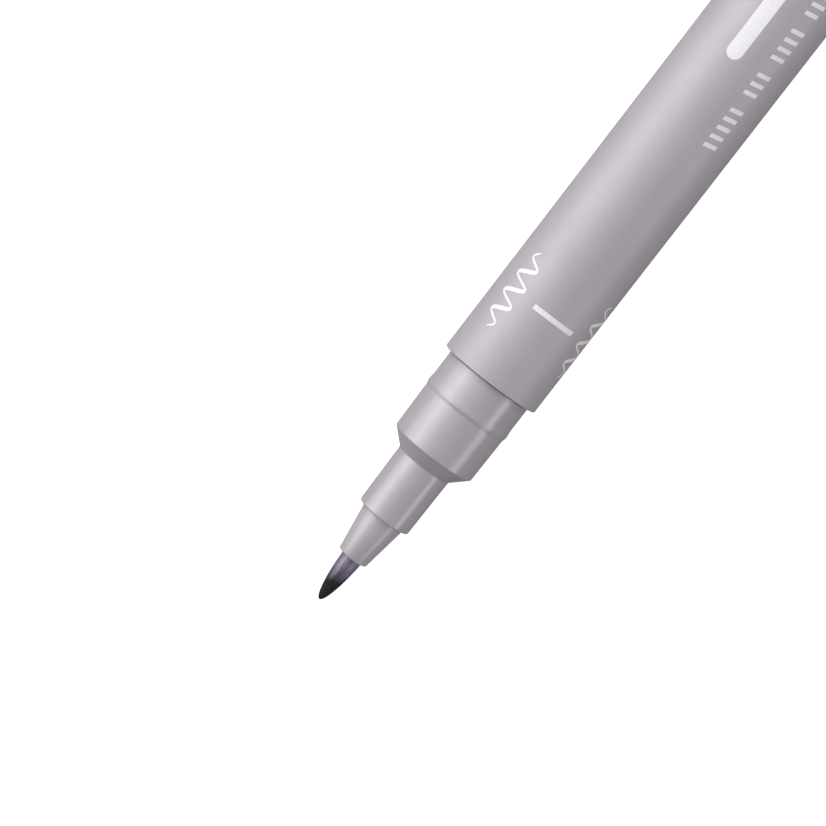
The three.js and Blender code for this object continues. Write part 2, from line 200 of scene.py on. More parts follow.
# printed marks, with angles in degrees from the barrel's top towards -Y
TICK_STATIONS = (8.58, 9.13)
TICK_ANGLES = (-11, 40)
FLOURISH_START = 4.4
FLOURISH_LENGTH = 9.0
FLOURISH_HEIGHT = 2.3
FLOURISH_WAVES = 4
FLOURISH_ANGLES = (-40, 68)
HATCHING_START = 31.4
HATCHING_ANGLE = 32.5
HATCHING_GROUPS = (5, 3, 4, 3, 7)
HATCHING_PITCH = 1.05
HATCHING_GAP = 1.1
HATCH_HEIGHT = 1.6
HATCH_WIDTH = 0.45
BAR_START = 39.6
BAR_LENGTH = 11.0
BAR_ANGLE = -7.4
BAR_HEIGHT = 1.7


# ---------------------------------------------------------------- mesh making
def rounded(outline, closed, arc_steps=5):
    """The outline with each corner that has a fillet turned into an arc."""
    corners = [(Vector(c[:2]), c[2] if len(c) > 2 else 0) for c in outline]
    points = []
    for i, (corner, fillet) in enumerate(corners):
        if fillet == 0 or (not closed and i in (0, len(corners) - 1)):
            points.append(corner)
            continue
        before = (corners[i - 1][0] - corner).normalized()
        after = (corners[(i + 1) % len(corners)][0] - corner).normalized()
        half = before.angle(after) / 2
        centre = corner + (before + after).normalized() * (fillet / math.sin(half))
        first = corner + before * (fillet / math.tan(half)) - centre
        last = corner + after * (fillet / math.tan(half)) - centre
        turn = first.angle_signed(last)
        for k in range(arc_steps + 1):
            a = -turn * k / arc_steps
            c, s = math.cos(a), math.sin(a)
            points.append(centre + Vector((first.x * c - first.y * s, first.x * s + first.y * c)))
    return points


def new_piece(name, mesh_data, origin):
    """An object from a bmesh in millimetres about the pen's axis, faced outwards, in its place."""
    bmesh.ops.remove_doubles(mesh_data, verts=mesh_data.verts, dist=1e-5)
    bmesh.ops.recalc_face_normals(mesh_data, faces=mesh_data.faces)
    if mesh_data.calc_volume(signed=True) < 0:
        bmesh.ops.reverse_faces(mesh_data, faces=mesh_data.faces)
    mesh_data.transform(Matrix.Translation(origin) @ Matrix.Scale(MM, 4))
    mesh = bpy.data.meshes.new(name)
    mesh_data.to_mesh(mesh)
    mesh_data.free()
    piece = bpy.data.objects.new(name, mesh)
    bpy.context.scene.collection.objects.link(piece)
    return piece


def smooth(piece, sharp_angle=40):
    """Smooth shading, weighted by face area, so that flats stay flat beside their fillets."""
    piece.data.shade_smooth()
    piece.data.set_sharp_from_angle(angle=math.radians(sharp_angle))
    weighted = piece.modifiers.new("weighted_normals", "WEIGHTED_NORMAL")
    weighted.keep_sharp = True
    return piece


def turned(name, outline, origin=PEN, closed=True, sides=SIDES):
    """A solid of revolution about the pen's axis. An open outline starts and ends on the axis."""
    data = bmesh.new()
    rings = []
    for radius, station in rounded(outline, closed):
        if radius < 1e-6:
            rings.append([data.verts.new((station, 0, 0))])
            continue
        turns = [2 * math.pi * k / sides for k in range(sides)]
        points = [(station, radius * math.sin(turn), radius * math.cos(turn)) for turn in turns]
        rings.append([data.verts.new(point) for point in points])
    pairs = list(zip(rings, rings[1:] + rings[:1])) if closed else list(zip(rings, rings[1:]))
    for near, far in pairs:
        for k in range(sides):
            after = (k + 1) % sides
            corners = [(near, k), (near, after), (far, after), (far, k)]
            data.faces.new(list(dict.fromkeys(ring[i % len(ring)] for ring, i in corners)))
    return smooth(new_piece(name, data, origin))


def block(name, stations, radii, width, turn, origin=PEN, bevel=0.0):
    """A bar between two stations and two radii, turned round the pen."""
    data = bmesh.new()
    bmesh.ops.create_cube(data, size=1)
    size = Vector((stations[1] - stations[0], width, radii[1] - radii[0]))
    middle = Vector((sum(stations) / 2, 0, sum(radii) / 2))
    place = Matrix.Rotation(turn, 4, "X") @ Matrix.Translation(middle)
    data.transform(place @ Matrix.Diagonal(size).to_4x4())
    if bevel:
        bmesh.ops.bevel(data, geom=data.edges[:], offset=bevel, segments=3, profile=0.5, affect="EDGES")
    return smooth(new_piece(name, data, origin))


def slot_cutter(name, stations, radius, length, width, turn, origin, steps=8):
    """A prism along the pen, for cutting a slot with round ends."""
    data = bmesh.new()
    outline = []
    for side in (1, -1):
        for k in range(steps + 1):
            across, out = math.sin(math.pi * k / steps), math.cos(math.pi * k / steps)
            outline.append((side * (length - width + width * across) / 2, radius + side * width * out / 2))
    face = data.faces.new([data.verts.new((stations[0], y, z)) for y, z in outline])
    raised = bmesh.ops.extrude_face_region(data, geom=[face])["geom"]
    for vertex in [g for g in raised if isinstance(g, bmesh.types.BMVert)]:
        vertex.co.x = stations[1]
    data.transform(Matrix.Rotation(turn, 4, "X"))
    return new_piece(name, data, origin)


def around(count, make, first):
    """That many things made at even turns round the pen."""
    return [make(first + 2 * math.pi * k / count, k) for k in range(count)]


def cut(piece, cutters):
    """Takes the cutters out of the piece, for good."""
    piece.modifiers.clear()
    for cutter in cutters:
        step = piece.modifiers.new("cut", "BOOLEAN")
        step.operation = "DIFFERENCE"
        step.solver = "EXACT"
        step.object = cutter
    graph = bpy.context.evaluated_depsgraph_get()
    mesh = bpy.data.meshes.new_from_object(piece.evaluated_get(graph), depsgraph=graph)
    mesh.name = piece.name
    piece.modifiers.clear()
    piece.data = mesh
    for cutter in cutters:
        bpy.data.objects.remove(cutter)
    smooth(piece, sharp_angle=30)


def finished(piece, body, material, slot, *nodes):
    """Gives a piece its material and its body, and hides the CAD nodes that it stands for. The slot is not
    used.
    """
    piece.data.materials.clear()
    piece.data.materials.append(material)
    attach(piece, body)
    if nodes:
        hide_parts(*nodes)


# ---------------------------------------------------------------- materials
class Material:
    """A Principled material whose textures are laid out in millimetres of the part's frame."""

    def __init__(self, name, **constants):
        self.result = bpy.data.materials.new(name)
        self.result.use_nodes = True
        self.tree = self.result.node_tree
        self.shader = self.tree.nodes["Principled BSDF"]
        for socket, value in constants.items():
            self.shader.inputs[socket.replace("_", " ")].default_value = value
        self.place = self.tree.nodes.new("ShaderNodeTexCoord").outputs["Object"]

    def node(self, kind, inputs=None, **settings):
        """A node with its settings made, and its inputs linked or set."""
        made = self.tree.nodes.new(kind)
        for key, value in settings.items():
            setattr(made, key, value)
        for key, value in (inputs or {}).items():
            self.feed(made.inputs[key], value)
        return made

    def feed(self, socket, value):
        """Links a socket to the value, or sets the socket to it."""
        if isinstance(value, bpy.types.NodeSocket):
            self.tree.links.new(value, socket)
        else:
            socket.default_value = value

    def noise(self, per_mm, detail=3.0, rough=0.5, offset=0.0):
        """Noise with that many features per millimetre along the pen and across it."""
        along, across = per_mm if isinstance(per_mm, tuple) else (per_mm, per_mm)
        scale = (along / MM, across / MM, across / MM)
        place = {"Vector": self.place, "Scale": scale, "Location": (offset,) * 3}
        mapped = self.node("ShaderNodeMapping", place)
        sizes = {"Scale": 1.0, "Detail": detail, "Roughness": rough}
        return self.node("ShaderNodeTexNoise", {"Vector": mapped.outputs[0], **sizes}).outputs["Fac"]

    def ramp(self, value, low, high, out_low=0.0, out_high=1.0):
        """The value's stretch from low to high, mapped smoothly to the output's."""
        ends = {"From Min": low, "From Max": high, "To Min": out_low, "To Max": out_high}
        made = self.node("ShaderNodeMapRange", {"Value": value, **ends}, interpolation_type="SMOOTHSTEP")
        return made.outputs["Result"]

    def math(self, operation, a, b):
        return self.node("ShaderNodeMath", {0: a, 1: b}, operation=operation).outputs[0]

    def mix(self, share, a, b):
        """A colour between a and b."""
        made = self.node("ShaderNodeMix", {"Factor": share, "A": a, "B": b}, data_type="RGBA")
        return made.outputs["Result"]

    def station(self, origin=PEN):
        """Millimetres along the pen from an origin, positive towards the tail."""
        x = self.node("ShaderNodeSeparateXYZ", {0: self.place}).outputs["X"]
        return self.math("MULTIPLY", self.math("SUBTRACT", x, origin.x), 1 / MM)

    def aside(self):
        """Millimetres from the pen's axis towards +Y."""
        y = self.node("ShaderNodeSeparateXYZ", {0: self.place}).outputs["Y"]
        return self.math("MULTIPLY", self.math("SUBTRACT", y, AXIS.y), 1 / MM)

    def bumped(self, height, depth_mm):
        """Adds a height map, on top of those already there."""
        made = self.node("ShaderNodeBump", {"Height": height, "Distance": depth_mm * MM, "Strength": 1.0})
        socket = self.shader.inputs["Normal"]
        if socket.links:
            self.tree.links.new(socket.links[0].from_socket, made.inputs["Normal"])
        self.tree.links.new(made.outputs[0], socket)

    def set(self, socket, value):
        """Links or sets one of the shader's sockets."""
        self.feed(self.shader.inputs[socket], value)


def grey(level, tint=(1.0, 0.895, 1.005)):
    """A light grey with the plastic's slight violet cast, from a linear level."""
    return (level * tint[0], level * tint[1], level * tint[2], 1.0)


def satin_plastic():
    """The barrel and cap shell: a fine satin texture with faint handling marks."""
    made = Material("satin_grey_plastic", IOR=1.6, Specular_IOR_Level=0.9)
    clouds = made.noise(0.12, 2)
    made.set("Base Color", made.mix(made.ramp(clouds, 0.3, 0.7), grey(0.33), grey(0.345)))
    smudges = made.noise((0.25, 0.5), 4, 0.6, 7.0)
    made.set("Roughness", made.ramp(smudges, 0.3, 0.75, 0.5, 0.45))
    made.bumped(made.noise(4.5, 2), 0.003)
    made.bumped(made.noise((0.08, 0.5), 1, 0.4, 3.0), 0.004)
    return made.result


def moulded_plastic(name, gloss, level):
    """The section, plug, crown and ferrule: glossier, with faint flow marks and a fine mould grain."""
    made = Material(name, IOR=1.6, Specular_IOR_Level=0.9)
    flow = made.noise((0.1, 0.45), 2, 0.5, 5.0)
    made.set("Base Color", made.mix(made.ramp(flow, 0.3, 0.7), grey(level - 0.005), grey(level + 0.005)))
    smudges = made.noise((0.15, 0.4), 2, 0.5, 2.0)
    made.set("Roughness", made.ramp(smudges, 0.3, 0.75, 1 - gloss + 0.024, 1 - gloss))
    made.bumped(made.noise(2.5, 2, 0.5, 1.0), 0.0006)
    return made.result


def print_ink():
    """White screen ink, thin enough to be a little uneven."""
    made = Material("white_print", IOR=1.5, Specular_IOR_Level=0.3)
    speckle = made.noise(7.0, 3)
    thin, full = (0.7, 0.685, 0.71, 1), (0.745, 0.73, 0.755, 1)
    made.set("Base Color", made.mix(made.ramp(speckle, 0.35, 0.6), thin, full))
    made.set("Roughness", made.ramp(speckle, 0.3, 0.7, 0.5, 0.4))
    made.bumped(made.noise(10.0, 2), 0.003)
    return made.result


def brush_fibre():
    """Fibres full of ink: violet and wet near the ferrule, black towards the point; the black reaching
    further back on the -Y side is painted shade.
    """
    made = Material("ink_soaked_fibre", IOR=1.4, Coat_Roughness=0.29, Coat_IOR=1.62)
    streaks = made.noise((0.35, 9.0), 3, 0.65)
    ragged = made.math("MULTIPLY", made.math("SUBTRACT", made.noise((0.4, 2.2), 3, 0.6, 9.0), 0.5), 1.3)
    ahead = made.math("MULTIPLY", made.math("ADD", made.station(), FERRULE_FRONT), -1.0)
    # Painted shade: the black's line moves back along the pen on the -Y side, away from the key lights. Its
    # raggedness is the ink's own.
    ragged_edge_and_shade_tilt = made.math("SUBTRACT", ragged, made.math("MULTIPLY", made.aside(), 0.35))
    reached = made.math("ADD", ahead, ragged_edge_and_shade_tilt)
    ink_soak_and_shade_tilt = made.ramp(reached, 2.15, 3.45)
    dry = made.mix(made.ramp(streaks, 0.32, 0.68), (0.061, 0.044, 0.105, 1), (0.165, 0.13, 0.228, 1))
    damp = made.mix(made.ramp(streaks, 0.32, 0.68), (0.03, 0.022, 0.045, 1), (0.07, 0.055, 0.09, 1))
    violet = made.mix(made.ramp(ahead, 0.6, 2.6), dry, damp)
    black = made.mix(made.ramp(streaks, 0.3, 0.7), (0.004, 0.0036, 0.0042, 1), (0.011, 0.01, 0.0115, 1))
    made.set("Base Color", made.mix(ink_soak_and_shade_tilt, violet, black))
    made.set("Roughness", made.ramp(ink_soak_and_shade_tilt, 0.0, 1.0, 0.3, 0.85))
    made.set("Coat Weight", made.ramp(reached, 1.0, 3.3, 1.0, 0.0))
    made.bumped(streaks, 0.014)
    made.bumped(made.noise((1.5, 24.0), 2, 0.6, 8.0), 0.005)
    return made.result


def brushed_steel():
    """The clip: steel brushed along its length."""
    made = Material("brushed_steel", Metallic=1.0, Anisotropic=0.4)
    lines = made.noise((0.12, 26.0), 3, 0.7)
    made.set("Base Color", made.mix(made.ramp(lines, 0.3, 0.7), (0.6, 0.6, 0.61, 1), (0.77, 0.77, 0.78, 1)))
    made.set("Roughness", made.ramp(lines, 0.3, 0.75, 0.36, 0.28))
    made.bumped(lines, 0.0012)
    return made.result


def soft_white_plastic():
    """The inner cap and breather tube: a natural plastic that lets some light in."""
    made = Material("soft_white_plastic", IOR=1.51, Subsurface_Weight=0.2, Subsurface_Scale=MM)
    clouds = made.noise(0.4, 3)
    low, high = (0.7, 0.69, 0.66, 1), (0.76, 0.75, 0.73, 1)
    made.set("Base Color", made.mix(made.ramp(clouds, 0.3, 0.7), low, high))
    made.set("Roughness", made.ramp(clouds, 0.3, 0.7, 0.48, 0.4))
    made.bumped(made.noise(5.0, 2), 0.002)
    return made.result


def reservoir_fibre():
    """Bonded fibre, dark with ink at the front and paler towards the tail."""
    made = Material("reservoir_fibre", IOR=1.4)
    strands = made.noise((0.15, 14.0), 3, 0.65)
    uneven = made.math("MULTIPLY", made.noise(0.25, 3), 30.0)
    stain = made.ramp(made.math("ADD", made.station(), uneven), 20, 85)
    inked = made.mix(made.ramp(strands, 0.3, 0.7), (0.03, 0.025, 0.04, 1), (0.075, 0.065, 0.09, 1))
    pale = made.mix(made.ramp(strands, 0.3, 0.7), (0.3, 0.28, 0.33, 1), (0.45, 0.43, 0.48, 1))
    made.set("Base Color", made.mix(stain, inked, pale))
    made.set("Roughness", made.ramp(strands, 0.3, 0.7, 0.95, 0.8))
    made.bumped(strands, 0.03)
    return made.result


def clear_film():
    """The thin wrinkled film round the reservoir."""
    made = Material("clear_film", IOR=1.5, Transmission_Weight=0.85)
    wrinkles = made.noise((0.1, 0.6), 3)
    made.set("Base Color", made.mix(wrinkles, (0.8, 0.83, 0.86, 1), (0.9, 0.92, 0.94, 1)))
    made.set("Roughness", made.ramp(wrinkles, 0.3, 0.7, 0.2, 0.1))
    made.bumped(wrinkles, 0.02)
    return made.result


SATIN = satin_plastic()
MOULDED = moulded_plastic("moulded_grey_plastic", gloss=0.724, level=0.337)
HOLDER = moulded_plastic("nib_holder_plastic", gloss=0.68, level=0.352)
PRINT = print_ink()
FIBRE = brush_fibre()
STEEL = brushed_steel()
WHITE = soft_white_plastic()
RESERVOIR = reservoir_fibre()
FILM = clear_film()


# ---------------------------------------------------------------- barrel and tail
def barrel():
    """The barrel tube, and the ribs inside it that hold the reservoir."""
    tube = turned(
        "barrel_tube",
        [
            (BORE_RADIUS, 0, 0.15),
            (BARREL_RADIUS, 0, 0.11),
            (BARREL_RADIUS, BARREL_LENGTH, 0.2),
            (BORE_RADIUS, BARREL_LENGTH, 0.15),
        ],
        sides=240,
    )
    finished(tube, "pen", SATIN, "barrel_grey", "barrel")
    stations = (SPIGOT_DEPTH + RIB_END_GAP, PLUG_FRONT - RIB_END_GAP)
    radii = (RIB_INNER_RADIUS, BORE_RADIUS + RIB_BITE)

    def rib(turn, k):
        return block(f"barrel_rib_{k + 1}", stations, radii, RIB_WIDTH, turn, bevel=0.1)

    for made in around(4, rib, CLIP_TURN):
        finished(made, "pen", SATIN, "barrel_grey")


def tail_plug():
    """The plug that closes the barrel: its post carries the cap, and crossed fins brace its cavity."""
    shoulder = BARREL_LENGTH + SEAT_GAP
    end = BARREL_LENGTH + POST_LENGTH
    cavity = SPIGOT_RADIUS - PLUG_WALL
    ceiling = end - PLUG_END_WALL
    crest_start, crest_end = (shoulder + station for station in POST_BEAD_CREST)
    plug = turned(
        "tail_plug_moulding",
        [
            (0, end),
            (POST_RADIUS, end, 0.6),
            (POST_RADIUS, shoulder + BEAD_END, 0.1),
            (POST_BEAD_RADIUS, crest_end, 0.3),
            (POST_BEAD_RADIUS, crest_start, 0.3),
            (POST_RADIUS, shoulder + BEAD_START, 0.1),
            (POST_RADIUS, shoulder),
            (SPIGOT_RADIUS, shoulder),
            (SPIGOT_RADIUS, PLUG_FRONT, 0.35),
            (cavity, PLUG_FRONT, 0.15),
            (cavity, ceiling, 0.3),
            (0, ceiling),
        ],
        closed=False,
    )
    finished(plug, "pen", MOULDED, "moulding_grey", "tail_plug")
    stations = (PLUG_FRONT, ceiling + RIB_BITE)
    radii = (-cavity - RIB_BITE, cavity + RIB_BITE)
    for k, turn in enumerate((CLIP_TURN, CLIP_TURN + math.pi / 2)):
        fin = block(f"tail_plug_fin_{k + 1}", stations, radii, PLUG_FIN_WIDTH, turn, bevel=0.1)
        finished(fin, "pen", MOULDED, "moulding_grey")


# ---------------------------------------------------------------- writing end
def grip_section():
    """The section in one moulding: spigot, band, snap bead, grip, shoulder and sleeve."""
    section = turned(
        "grip_section_moulding",
        [
            (CAVITY_RADIUS, SPIGOT_DEPTH, 0.15),
            (SPIGOT_RADIUS, SPIGOT_DEPTH, 0.4),
            (SPIGOT_RADIUS, -SEAT_GAP),
            (BAND_RADIUS, -SEAT_GAP, 0.05),
            (BAND_RADIUS, -BEAD_START, 1.0),
            (BEAD_RADIUS, -BEAD_END + BEAD_SLOPE + BEAD_CREST, 0.7),
            (BEAD_RADIUS, -BEAD_END + BEAD_SLOPE, 0.7),
            (GRIP_RADIUS, -BEAD_END, 0.9),
            (GRIP_FRONT_RADIUS, -GRIP_FRONT, 0.12),
            (SLEEVE_REAR_RADIUS, -SLEEVE_REAR, 0.1),
            (SLEEVE_FRONT_RADIUS, -SLEEVE_FRONT, 0.16),
            (SOCKET_RADIUS, -SLEEVE_FRONT, 0.05),
            (SOCKET_RADIUS, -WEB_FRONT),
            (FERRULE_BORE, -WEB_FRONT),
            (FERRULE_BORE, -WEB_REAR),
            (CAVITY_RADIUS, -WEB_REAR, 0.3),
        ],
        sides=200,
    )
    stations = (SPIGOT_DEPTH - SPIGOT_SLOT_DEPTH, SPIGOT_DEPTH + CUT_PAST)
    radii = (CAVITY_RADIUS - CUT_PAST, BARREL_RADIUS)

    def slot(turn, k):
        return block(f"slot_{k}", stations, radii, SPIGOT_SLOT_WIDTH, turn)

    cut(section, around(2, slot, CLIP_TURN))
    finished(section, "pen", MOULDED, "moulding_grey", "grip_section")


def nib_ferrule():
    """The tapered nib holder, pressed into the section's sleeve."""
    shoulder = -SLEEVE_FRONT - SEAM_GAP
    spigot_end = -WEB_FRONT - 2 * SEAT_GAP
    ferrule = turned(
        "nib_ferrule_moulding",
        [
            (FERRULE_BORE, spigot_end),
            (FERRULE_SPIGOT_RADIUS, spigot_end, 0.2),
            (FERRULE_SPIGOT_RADIUS, shoulder),
            (FERRULE_REAR_RADIUS, shoulder, 0.04),
            (FERRULE_FRONT_RADIUS, -FERRULE_FRONT, 0.12),
            (FERRULE_MOUTH_RADIUS, -FERRULE_FRONT, 0.1),
            (FERRULE_MOUTH_RADIUS, -FERRULE_FRONT + FERRULE_MOUTH_DEPTH),
            (FERRULE_BORE, -FERRULE_FRONT + FERRULE_MOUTH_DEPTH),
        ],
    )
    finished(ferrule, "pen", HOLDER, "moulding_grey", "nib_ferrule")


def brush_outline():
    """The whole fibre rod: rounded rear end, feed, and the tip's long taper."""
    mouth = -FERRULE_FRONT
    heel = mouth + FERRULE_MOUTH_DEPTH - HEEL_GAP
    rear = [(0, FEED_REAR), (FEED_RADIUS / 3, FEED_REAR), (FEED_RADIUS, FEED_REAR - FEED_RADIUS)]
    neck = [(FEED_RADIUS, heel), (TIP_RADIUS, heel - HEEL_SLOPE), (TIP_RADIUS, mouth)]
    steps, bluntness = 60, 1.5
    taper = []
    for k in range(1, steps):
        share = math.sin(math.pi / 2 * k / steps)
        taper.append((TIP_RADIUS * math.sqrt(1 - share**bluntness), mouth - TIP_LENGTH * share))
    return rear + neck + taper + [(0, mouth - TIP_LENGTH)]


def brush():
    """The whole fibre rod as one mesh."""
    rod = turned("brush_fibre_rod", brush_outline(), closed=False, sides=144)
    flute(rod)
    rod.data.materials.append(FIBRE)
    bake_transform(rod)
    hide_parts("brush_tip", "ink_feed")


def ripple(turn, station, round_tip, along):
    """A smooth random height, with that many changes round the tip and per millimetre along it."""
    return noise.noise(Vector((math.cos(turn) * round_tip, math.sin(turn) * round_tip, station * along)))


def flute(rod):
    """Presses shallow lengthwise grooves between bundles of fibre into the bare tip, worn to one side."""
    fade_start, fade_length = FERRULE_FRONT - 0.6, 0.8
    for vertex in rod.data.vertices:
        local = (vertex.co - PEN) / MM
        radius = math.hypot(local.y, local.z)
        bare = min(1.0, max(0.0, (-local.x - fade_start) / fade_length))
        if radius < 0.05 or bare == 0:
            continue
        turn = math.atan2(local.y, local.z)
        height = ripple(turn, local.x, 5, 0.35) + 0.5 * ripple(turn, local.x, 14, 0.6) - 0.4
        shrink = FLUTE_DEPTH * bare * height * min(1.0, radius / 0.5) / radius
        worn = TIP_WEAR * bare * (-local.x - FERRULE_FRONT) / TIP_LENGTH
        vertex.co.y += (local.y * shrink + worn) * MM
        vertex.co.z += local.z * shrink * MM


# ---------------------------------------------------------------- ink reservoir
def reservoir():
    """The fibre core with its film wrap, and the breather tube in its groove."""
    core = turned(
        "reservoir_fibre_core",
        [
            (0, FEED_REAR + FEED_END_GAP),
            (FERRULE_BORE, FEED_REAR + FEED_END_GAP),
            (FERRULE_BORE, CORE_FRONT, 0.1),
            (CORE_RADIUS, CORE_FRONT, 0.2),
            (CORE_RADIUS, CORE_REAR, 0.2),
            (0, CORE_REAR),
        ],
        closed=False,
        sides=120,
    )
    breather_turn = CLIP_TURN + math.pi
    radii = (BREATHER_OFFSET - BREATHER_RADIUS - SEAT_GAP, CORE_RADIUS + CUT_PAST)
    stations = (CORE_FRONT - CUT_PAST, CORE_REAR + CUT_PAST)
    cut(core, [block("groove", stations, radii, BREATHER_GROOVE, breather_turn)])
    finished(core, "pen", RESERVOIR, "reservoir_fibre", "reservoir_core")

    ends = (CORE_FRONT + 2 * SEAT_GAP, CORE_REAR - 2 * SEAT_GAP)
    film = ring_outline(WRAP_INNER_RADIUS, WRAP_OUTER_RADIUS, *ends)
    wrap = turned("reservoir_film_wrap", film, sides=120)
    finished(wrap, "pen", FILM, "clear_film", "reservoir_wrap")

    aside = Matrix.Rotation(breather_turn, 4, "X") @ Vector((0, 0, BREATHER_OFFSET * MM))
    wall = ring_outline(BREATHER_BORE, BREATHER_RADIUS, CORE_FRONT, CORE_REAR, 0.04)
    tube = turned("breather_air_tube", wall, origin=PEN + aside, sides=40)
    finished(tube, "pen", WHITE, "white_plastic", "breather_tube")


def ring_outline(inner, outer, start, end, fillet=0):
    """The outline of a plain ring between two radii and two stations."""
    return [(inner, start, fillet), (outer, start, fillet), (outer, end, fillet), (inner, end, fillet)]


# ---------------------------------------------------------------- cap
def cap_shell():
    """The cap's tube, with a groove in its bore that clicks over the bead."""
    shell = turned(
        "cap_shell_moulding",
        [
            (CAP_RIDGE_RADIUS, 0, 0.2),
            (BARREL_RADIUS, 0, 0.2),
            (BARREL_RADIUS, CAP_SHELL_LENGTH, 0.12),
            (CAP_BORE, CAP_SHELL_LENGTH, 0.1),
            (CAP_BORE, BEAD_END + CAP_GROOVE_SLOPE, 0.1),
            (CAP_GROOVE_RADIUS, BEAD_END, 0.1),
            (CAP_GROOVE_RADIUS, BEAD_START, 0.1),
            (CAP_RIDGE_RADIUS, BEAD_START - CAP_GROOVE_SLOPE, 0.1),
        ],
        origin=CAP,
        sides=240,
    )
    finished(shell, "cap", SATIN, "barrel_grey", "cap_shell")


def inner_cap():
    """The cup that seals on the section's sleeve, with notches for air and fins to centre it."""
    cup = turned(
        "inner_cap_moulding",
        [
            (0, LINER_END),
            (CROWN_SPIGOT_RADIUS, LINER_END, 0.15),
            (CROWN_SPIGOT_RADIUS, LINER_FLANGE, 0.15),
            (LINER_RADIUS, LINER_FLANGE, 0.2),
            (LINER_RADIUS, LINER_MOUTH, 0.25),
            (LINER_BORE, LINER_MOUTH, 0.25),
            (LINER_BORE, LINER_FLOOR, 0.5),
            (0, LINER_FLOOR),
        ],
        origin=CAP,
        closed=False,
    )
    notch_stations = (LINER_FLANGE - LINER_NOTCH_GAP, LINER_END + CUT_PAST)
    notch_radii = (LINER_RADIUS + LINER_NOTCH_GAP, BARREL_RADIUS)
    fin_stations = (LINER_FIN_START, LINER_FLANGE + 2 * SEAT_GAP)
    fin_radii = (LINER_RADIUS - LINER_FIN_BITE, CROWN_SPIGOT_RADIUS - SEAT_GAP)

    def notch(turn, k):
        return block(f"notch_{k}", notch_stations, notch_radii, LINER_NOTCH_WIDTH, turn, CAP)

    def fin(turn, k):
        name = f"inner_cap_fin_{k + 1}"
        return block(name, fin_stations, fin_radii, LINER_FIN_WIDTH, turn, CAP, bevel=0.12)

    cut(cup, around(4, notch, CLIP_TURN))
    finished(cup, "cap", WHITE, "white_plastic", "inner_cap")
    for made in around(4, fin, CLIP_TURN + math.pi / 4):
        finished(made, "cap", WHITE, "white_plastic")


def cap_crown():
    """The cap's end, with the clip's slot and three air vents."""
    head = CAP_SHELL_LENGTH + SEAT_GAP
    crown = turned(
        "cap_crown_moulding",
        [
            (0, CAP_LENGTH),
            (BARREL_RADIUS, CAP_LENGTH, 0.8),
            (BARREL_RADIUS, head, 0.12),
            (CROWN_SPIGOT_RADIUS, head),
            (CROWN_SPIGOT_RADIUS, CROWN_START, 0.2),
            (CROWN_CAVITY_RADIUS, CROWN_START, 0.1),
            (CROWN_CAVITY_RADIUS, CROWN_CEILING, 0.3),
            (0, CROWN_CEILING),
        ],
        origin=CAP,
        closed=False,
        sides=200,
    )
    half = CLIP_THICKNESS / 2 + CLIP_SLOT_GAP
    stations = (CLIP_STATION - half, CLIP_STATION + half)
    radii = (CLIP_ROOT_RADIUS - CLIP_SLOT_GAP, BARREL_RADIUS + CUT_PAST)
    slot = block("clip_slot", stations, radii, CLIP_WIDTH + 2 * CLIP_SLOT_GAP, CLIP_TURN, CAP)
    through = (CROWN_CEILING - CUT_PAST, CAP_LENGTH + CUT_PAST)

    def vent(turn, k):
        return slot_cutter(f"vent_{k}", through, VENT_RADIUS, VENT_LENGTH, VENT_WIDTH, turn, CAP)

    cut(crown, [slot, *around(3, vent, CLIP_TURN)])
    finished(crown, "cap", MOULDED, "moulding_grey", "cap_crown")


def bezier(a, b, c, d, steps):
    """Points along a cubic curve, without its first."""
    points = []
    for k in range(1, steps + 1):
        t = k / steps
        points.append(a * (1 - t) ** 3 + b * 3 * t * (1 - t) ** 2 + c * 3 * t * t * (1 - t) + d * t**3)
    return points


def clip_line():
    """The clip's middle line from root to free end, as (station, radius) points."""
    touch = BARREL_RADIUS + CLIP_THICKNESS / 2 + SEAT_GAP / 2
    ease = (CLIP_KNEE - CLIP_TOUCH) / 2
    line = [Vector((CLIP_STATION, CLIP_ROOT_RADIUS)), Vector((CLIP_STATION, CLIP_ROOT_TOP))]
    centre = Vector((CLIP_STATION - CLIP_BEND, CLIP_ARM_RADIUS - CLIP_BEND))
    for k in range(13):
        angle = math.pi / 2 * k / 12
        line.append(centre + Vector((math.cos(angle), math.sin(angle))) * CLIP_BEND)
    start, knee = line[-1], Vector((CLIP_KNEE, CLIP_ARM_END_RADIUS))
    line += [start.lerp(knee, k / 24) for k in range(1, 25)]
    down, flat = knee - Vector((ease, 0)), Vector((CLIP_TOUCH + ease, touch))
    line += bezier(knee, down, flat, Vector((CLIP_TOUCH, touch)), 16)
    middle, end = Vector((CLIP_TOUCH - ease / 2, touch)), Vector((CLIP_TIP, CLIP_ARM_END_RADIUS))
    line += bezier(line[-1], line[-1].lerp(middle, 2 / 3), end.lerp(middle, 2 / 3), end, 12)
    return line


def strip_section(width, thickness, fillet):
    """A rounded rectangle as (across, through) points."""
    points = []
    for across, through, first in ((1, 1, 0), (-1, 1, 90), (-1, -1, 180), (1, -1, 270)):
        centre = Vector((across * (width / 2 - fillet), through * (thickness / 2 - fillet)))
        for k in range(5):
            angle = math.radians(first + 90 * k / 4)
            points.append(centre + Vector((math.cos(angle), math.sin(angle))) * fillet)
    return points


